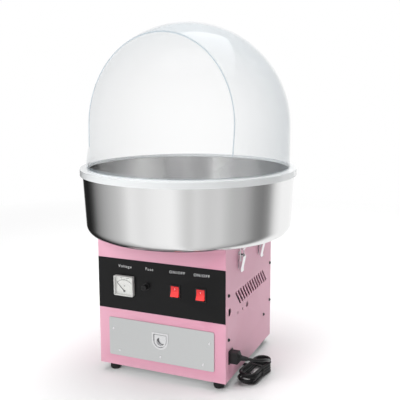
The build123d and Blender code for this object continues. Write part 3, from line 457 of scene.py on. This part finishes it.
def hankPoints():
    # long flat turns, wound down from the top; each is a little longer or shorter and fans at the front
    spec = cordSpec
    front, rear = Vector(spec["front"]), Vector(spec["rear"])
    along = (rear - front).normalized()
    across = Vector((along.y, -along.x))
    points = []

    def addPoint(spot, turns):
        points.append((spot.x, spot.y, max(spec["top"] - spec["dropPerTurn"] * turns, spec["lie"])))

    def onArc(centre, degrees):
        angle = math.radians(degrees)
        return centre + (across * math.cos(angle) + along * math.sin(angle)) * spec["foldRadius"]

    for turn, (reach, shift, fan) in enumerate(spec["fold"]):
        for end, centre in enumerate((rear + along * fan, front - along * reach)):
            centre = centre + across * shift * end
            for step in range(spec["arcPoints"]):
                addPoint(onArc(centre, 180 * end + spec["stepAngle"] * step),
                         turn + 0.5 * end + spec["sink"] * step)
            middle = (front + rear) / 2 + across * spec["foldRadius"] * (2 * end - 1) * spec["waist"]
            addPoint(middle, turn + 0.5 * end + spec["middleSink"])
    for step in range(spec["lastPoints"]):
        spot = onArc(rear, spec["stepAngle"] * step)
        points.append((spot.x, spot.y, spec["lie"]))
    return points


def makeCord():
    route = leadRoute + hankPoints() + tailRoute
    data = bpy.data.curves.new("mainsCord", "CURVE")
    data.dimensions = "3D"
    data.bevel_depth = cordSpec["radius"] * mm
    data.bevel_resolution = 6
    data.resolution_u = 8
    data.use_fill_caps = True
    spline = data.splines.new("NURBS")
    spline.points.add(len(route) - 1)
    for point, spot in zip(spline.points, route):
        point.co = (spot[0] * mm, spot[1] * mm, spot[2] * mm, 1)
    spline.order_u = 3
    spline.use_endpoint_u = True
    piece = bpy.data.objects.new("mainsCord", data)
    bpy.context.scene.collection.objects.link(piece)
    data.materials.append(cordJacket)
    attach(piece, "root")
    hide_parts("cord_lead", "cord_hank", "cord_tail")


makeCord()
print("camera and cord made")


# ---- the CAD nodes' own materials

nodeMaterials = {
    pinkPaint: ["cover_shell", "front_panel", "rear_panel"],
    satinSteel: ["bottom_plate", "drawer_tray", "drawer_rails", "motor_bracket", "drawer_front"],
    bowlSteel: ["bowl"],
    blackFilm: ["control_decal"],
    blackPlastic: ["switch_body_left", "switch_body_right", "fuse_holder", "fuse_cap", "power_inlet", "cord_connector",
                   "mains_plug", "brush_holder"],
    whitePlastic: ["meter_case", "terminal_block"],
    dialWhite: ["meter_dial"],
    darkSteel: ["case_screws", "meter_needle"],
    blackRubber: ["rubber_feet"],
    redLens: ["rocker_left", "rocker_right"],
    domeAcrylic: ["dome"],
    windowAcrylic: ["meter_window", "glass_fuse"],
    aluminiumCast: ["head_base", "head_cap", "head_band", "motor_end_cap"],
    castGrey: ["motor_housing", "motor_stator", "motor_rotor"],
    brassMetal: ["slip_rings"],
    carbonBlock: ["carbon_brushes"],
}
for material, names in nodeMaterials.items():
    for name in names:
        nodes[name].data.materials.clear()
        nodes[name].data.materials.append(material)
painted = {name for names in nodeMaterials.values() for name in names}
for name, node in nodes.items():
    if name not in painted:
        node.data.materials.clear()
        node.data.materials.append(brightSteel)
print("CAD nodes painted")


# ---- printing on the control film

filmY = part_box("control_decal")[0].y
labelSpec = {"size": 0.0092, "lift": 0.00015, "spacing": 1.25, "height": 0.2665,
             "places": {"Voltage": -0.0905, "Fuse": -0.0265, "ON/OFF.left": 0.0445, "ON/OFF.right": 0.1050}}
inkLift = 0.0001


def makeText(name, words, spot, size, material, body, lift=inkLift, lean=90, spacing=1.0):
    deselectAll()
    bpy.ops.object.text_add(location=spot, rotation=(math.radians(lean), 0, 0))
    piece = bpy.context.object
    piece.data.body = words
    piece.data.size = size
    piece.data.space_character = spacing
    piece.data.align_x = "CENTER"
    piece.data.align_y = "CENTER"
    piece.data.extrude = lift
    makeActive(piece)
    bpy.ops.object.convert(target="MESH")
    piece = nameActive(name)
    freezePlace(piece)
    finishPiece(piece, body, material)


for label, x in labelSpec["places"].items():
    makeText("label_" + label.replace("/", "_"), label.split(".")[0], (x, filmY, labelSpec["height"]),
             labelSpec["size"], inkWhite, "root", labelSpec["lift"], spacing=labelSpec["spacing"])

dialLow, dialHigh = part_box("meter_dial")
dialSpec = {"height": 0.208, "radius": 0.026, "start": 135, "sweep": 90, "ticks": 31, "longEvery": 5,
            "long": 0.0036, "short": 0.002, "width": 0.00035, "wider": 1.6, "ink": 0.0002, "line": 0.0003,
            "arcSteps": 36, "overlap": 1.02, "numbers": ("0", "100", "200", "300"), "numberStep": 30,
            "numberReach": 0.0325, "numberRise": 0.0005, "numberSize": 0.0042, "unitRise": 0.012,
            "unitSize": 0.006}
dialCentre = Vector(((dialLow.x + dialHigh.x) / 2, dialLow.y, dialSpec["height"]))


def addDialBar(angle, reach, turn, length, wide):
    ink = dialSpec["ink"]
    bpy.ops.mesh.primitive_cube_add(
        size=1, rotation=(0, turn, 0), scale=(length, ink, wide),
        location=(dialCentre.x + reach * math.cos(angle), dialCentre.y - ink / 2,
                  dialCentre.z + reach * math.sin(angle)))
    return bpy.context.object


def makeDialScale():
    # ticks and the arc they stand on, printed on the dial
    spec = dialSpec
    deselectAll()
    bars = []
    for i in range(spec["ticks"]):
        angle = math.radians(spec["start"] - spec["sweep"] * i / (spec["ticks"] - 1))
        isLong = i % spec["longEvery"] == 0
        length = spec["long"] if isLong else spec["short"]
        wide = spec["width"] * (spec["wider"] if isLong else 1)
        bars.append(addDialBar(angle, spec["radius"] + length / 2, -angle, length, wide))
    length = spec["radius"] * math.radians(spec["sweep"]) / spec["arcSteps"] * spec["overlap"]
    for i in range(spec["arcSteps"]):
        angle = math.radians(spec["start"] - spec["sweep"] * (i + 0.5) / spec["arcSteps"])
        bars.append(addDialBar(angle, spec["radius"], math.radians(90) - angle, length, spec["line"]))
    finishPiece(joinPieces(bars, "dialScale"), "root", inkBlack)


def makeDialNumbers():
    spec = dialSpec
    for i, words in enumerate(spec["numbers"]):
        angle = math.radians(spec["start"] - spec["numberStep"] * i)
        spot = (dialCentre.x + spec["numberReach"] * math.cos(angle), dialCentre.y,
                dialCentre.z + spec["numberReach"] * math.sin(angle) + spec["numberRise"])
        makeText("dialNumber" + words, words, spot, spec["numberSize"], inkBlack, "root")
    makeText("dialUnit", "V", (dialCentre.x, dialCentre.y, dialCentre.z + spec["unitRise"]), spec["unitSize"],
             inkBlack, "root")


makeDialScale()
makeDialNumbers()
print("printing done")


# ---- rocker marks

markSpec = {"pressedDepth": 0.0046, "onHeight": 0.2275, "offHeight": 0.2152, "size": 0.0062, "lean": 69}


def makeRockerMarks():
    # the pressed half stands upright, the other leans out by twice the rocker's tilt
    spec = markSpec
    for side in ("left", "right"):
        low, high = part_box("rocker_" + side)
        middle = (low.x + high.x) / 2
        pressedFace = low.y + spec["pressedDepth"]
        makeText("markOn_" + side, "I", (middle, pressedFace, spec["onHeight"]), spec["size"], inkWhite,
                 "rocker_" + side)
        makeText("markOff_" + side, "O", (middle, (low.y + pressedFace) / 2, spec["offHeight"]), spec["size"],
                 inkWhite, "rocker_" + side, lean=spec["lean"])


makeRockerMarks()
print("rocker marks made")


# ---- spun bowl

bowlSpec = {"rimRadius": 0.260, "rimHeight": 0.485, "bead": 0.003, "beadSteps": 22, "wallRadius": 0.251,
            "corner": 0.025, "cornerSteps": 14, "floor": 0.330, "flat": 0.12, "sheet": 0.0012, "hole": 0.031,
            "collar": 0.014, "steps": 192}


def makeBowl():
    spec = bowlSpec
    bend = (spec["wallRadius"] - spec["corner"], spec["floor"] + spec["corner"])
    bead = (spec["rimRadius"] - spec["bead"], spec["rimHeight"] - spec["bead"])
    sheet, floor, hole = spec["sheet"], spec["floor"], spec["hole"]
    outline = [(hole, floor), (spec["flat"], floor)]
    outline += arcPoints(bend, spec["corner"], -90, 0, spec["cornerSteps"])
    outline += arcPoints(bead, spec["bead"], -75, 205, spec["beadSteps"])
    outline += arcPoints(bend, spec["corner"] - sheet, 0, -90, spec["cornerSteps"])
    outline += [(spec["flat"], floor + sheet), (hole + sheet, floor + sheet),
                (hole + sheet, floor + spec["collar"]), (hole, floor + spec["collar"])]
    piece = turnedShell("spunBowl", outline, spec["steps"])
    smoothByAngle(piece)
    finishPiece(piece, "root", bowlSteel, "bowl")


makeBowl()
print("bowl made")


# ---- case screws with their cross recess

screwSpec = {"radius": 0.0039, "height": 0.0021, "edge": 0.0008, "slotLength": 0.0044, "slotWidth": 0.0009,
             "slotDepth": 0.0012, "slotEdge": 0.00025, "slotTurns": (45, 135), "spin": 7, "side": 0.1625,
             "places": [(-0.146, 0.2225), (-0.146, 0.1195), (0.152, 0.221), (0.152, 0.120)],
             "odd": (0.1038, 0.0955), "foot": 0.1365, "footHeight": 0.009}


def makeScrewHead():
    # one pan head standing on the origin, pointing up
    spec = screwSpec
    deselectAll()
    bpy.ops.mesh.primitive_cylinder_add(vertices=40, radius=spec["radius"], depth=spec["height"],
                                        location=(0, 0, spec["height"] / 2))
    head = nameActive("screwHead")
    freezePlace(head)
    addBevel(head, spec["edge"], segments=4)
    for turn in spec["slotTurns"]:
        deselectAll()
        bpy.ops.mesh.primitive_cube_add(size=1, location=(0, 0, spec["height"]), rotation=(0, 0, math.radians(turn)),
                                        scale=(spec["slotLength"], spec["slotWidth"], 2 * spec["slotDepth"]))
        cutter = nameActive("slotCutter")
        freezePlace(cutter)
        addBevel(cutter, spec["slotEdge"])
        cut = head.modifiers.new("slot", "BOOLEAN")
        cut.object = cutter
        applyModifiers(head)
        deletePiece(cutter)
    smoothByAngle(head)
    return head


def makeScrews():
    spec = screwSpec
    head = makeScrewHead()
    spots = [(sign * spec["side"], y, z, sign * 90) for sign in (-1, 1) for y, z in spec["places"]]
    spots.append((spec["side"], *spec["odd"], 90))
    spots += [(x * spec["foot"], y * spec["foot"], spec["footHeight"] + spec["height"], 180)
              for x in (-1, 1) for y in (-1, 1)]
    copies = []
    for x, y, z, turn in spots:
        copy = head.copy()
        copy.data = head.data.copy()
        bpy.context.scene.collection.objects.link(copy)
        copy.location = (x, y, z)
        copy.rotation_euler = (math.radians(spec["spin"] * len(copies)), math.radians(turn), 0)
        copies.append(copy)
    deletePiece(head)
    piece = joinPieces(copies, "caseScrews")
    finishPiece(piece, "root", darkSteel, "case_screws")


makeScrews()
print("screws made")


# ---- tie round the folded cord

tieSpec = {"centre": (0.1962, -0.0568, 0.0153), "turn": 170.4, "width": 0.043, "height": 0.0288, "round": 0.011,
           "strap": 0.006, "thick": 0.0009}


def makeTie():
    spec = tieSpec
    deselectAll()
    bpy.ops.mesh.primitive_plane_add(size=1, location=spec["centre"], rotation=(math.radians(90), 0,
                                                                               math.radians(spec["turn"])))
    piece = nameActive("cordTie")
    piece.scale = (spec["width"], spec["height"], 1)
    freezePlace(piece)
    bpy.ops.object.mode_set(mode="EDIT")
    bpy.ops.mesh.select_all(action="SELECT")
    bpy.ops.mesh.delete(type="ONLY_FACE")
    bpy.ops.mesh.select_all(action="SELECT")
    bpy.ops.mesh.bevel(offset=spec["round"], segments=6, affect="VERTICES")
    bpy.ops.mesh.select_all(action="SELECT")
    along = Vector((math.sin(math.radians(spec["turn"])), -math.cos(math.radians(spec["turn"])), 0))
    bpy.ops.mesh.extrude_region_move(TRANSFORM_OT_translate={"value": along * spec["strap"]})
    bpy.ops.object.mode_set(mode="OBJECT")
    wall = piece.modifiers.new("wall", "SOLIDIFY")
    wall.thickness = spec["thick"]
    applyModifiers(piece)
    smoothByAngle(piece)
    finishPiece(piece, "root", blackRubber)


makeTie()
print("tie made")


# ---- floor, light and world

floorSpec = {"size": 12, "white": 0.92, "fadeFrom": 0.5, "fadeTo": 2.4}
lightSpec = {  # place, aim, size and power
    "keyLight": ((-1.3, -2.6, 1.9), (0, 0, 0.3), 1.8, 58),
    "topLight": ((0.2, 0.2, 3.2), (0, 0, 0), 3.0, 110),
    "backLight": ((0.3, 2.4, 2.0), (0, 0, 0.5), 1.8, 20),
}


def makeFloor():
    # pale near the object, fading to plain white glow far off
    deselectAll()
    bpy.ops.mesh.primitive_plane_add(size=floorSpec["size"], location=(0, 0, 0))
    floor = nameActive("studioFloor")
    floorPaint, shader = newMaterial("studioFloor", Roughness=0.85, Specular_IOR_Level=0.0)
    tree = floorPaint.node_tree
    place = tree.nodes.new("ShaderNodeTexCoord")
    reach = addMath(tree, "LENGTH", place.outputs["Object"], kind="ShaderNodeVectorMath")
    fade = addRange(tree, reach, floorSpec["fadeFrom"], floorSpec["fadeTo"])
    near = addMix(tree, fade, (*[floorSpec["white"]] * 3, 1), (0, 0, 0, 1))
    tree.links.new(near, shader.inputs["Base Color"])
    tree.links.new(fade, shader.inputs["Emission Strength"])
    shader.inputs["Emission Color"].default_value = (1, 1, 1, 1)
    floor.data.materials.append(floorPaint)
    floor.visible_glossy = False  # steel mirrors the room, not the floor


def makeLights():
    for name, (place, aim, size, power) in lightSpec.items():
        data = bpy.data.lights.new(name, "AREA")
        data.size = size
        data.energy = power
        lamp = bpy.data.objects.new(name, data)
        lamp.location = place
        lamp.rotation_mode = "QUATERNION"
        lamp.rotation_quaternion = (Vector(aim) - Vector(place)).to_track_quat("-Z", "Y")
        lamp.visible_glossy = name == "topLight"  # the bowl's inside mirrors only the one overhead
        bpy.context.scene.collection.objects.link(lamp)


# share of a full turn, and the brightness of the room's panel there
roomPanels = [(0.0, 0.29), (0.005, 0.31), (0.035, 0.44), (0.065, 0.55), (0.09, 0.63), (0.115, 0.78), (0.135, 0.97),
              (0.175, 0.90), (0.215, 1.0), (0.27, 1.06), (0.305, 0.76), (0.32, 0.70), (0.34, 0.82), (0.375, 0.70),
              (0.41, 0.75), (0.447, 0.56), (0.487, 0.50), (0.532, 0.26), (0.558, 0.21), (0.585, 0.32), (0.615, 0.85),
              (0.65, 1.05), (0.80, 0.98), (0.855, 0.60), (0.88, 0.02), (0.935, 0.015), (0.965, 0.06), (1.0, 0.29)]
softStrength = 0.15


def addBackground(tree, color, strength=1.0):
    node = tree.nodes.new("ShaderNodeBackground")
    plug(tree, color, node.inputs["Color"])
    node.inputs["Strength"].default_value = strength
    return node.outputs["Background"]


def addShaderMix(tree, factor, first, second):
    node = tree.nodes.new("ShaderNodeMixShader")
    for i, value in enumerate((factor, first, second)):
        tree.links.new(value, node.inputs[i])
    return node.outputs["Shader"]


def makeWorld():
    # a white room for the camera and for soft light; what shines mirrors upright panels, light and dark
    world = bpy.data.worlds.new("studioRoom")
    bpy.context.scene.world = world
    world.use_nodes = True
    tree = world.node_tree
    tree.nodes.clear()
    apart = placeApart(tree, "Generated")[1]
    turn = addMath(tree, "ARCTAN2", apart["Y"], apart["X"])
    share = addRange(tree, turn, -math.pi, math.pi)
    panels = tree.nodes.new("ShaderNodeValToRGB")
    ramp = panels.color_ramp
    ramp.elements[0].position, ramp.elements[1].position = roomPanels[0][0], roomPanels[-1][0]
    for element, panel in zip(ramp.elements, (roomPanels[0], roomPanels[-1])):
        element.color = (*[panel[1]] * 3, 1)
    for position, level in roomPanels[1:-1]:
        ramp.elements.new(position).color = (level, level, level, 1)
    tree.links.new(share, panels.inputs["Fac"])
    white = (1, 1, 1, 1)
    lightPath = tree.nodes.new("ShaderNodeLightPath")
    lit = addShaderMix(tree, lightPath.outputs["Is Glossy Ray"], addBackground(tree, white, softStrength),
                       addBackground(tree, panels.outputs["Color"]))
    seen = addShaderMix(tree, lightPath.outputs["Is Camera Ray"], lit, addBackground(tree, white))
    output = tree.nodes.new("ShaderNodeOutputWorld")
    tree.links.new(seen, output.inputs["Surface"])


makeFloor()
makeLights()
makeWorld()
bpy.context.scene.view_settings.view_transform = "Standard"
print("stage made")
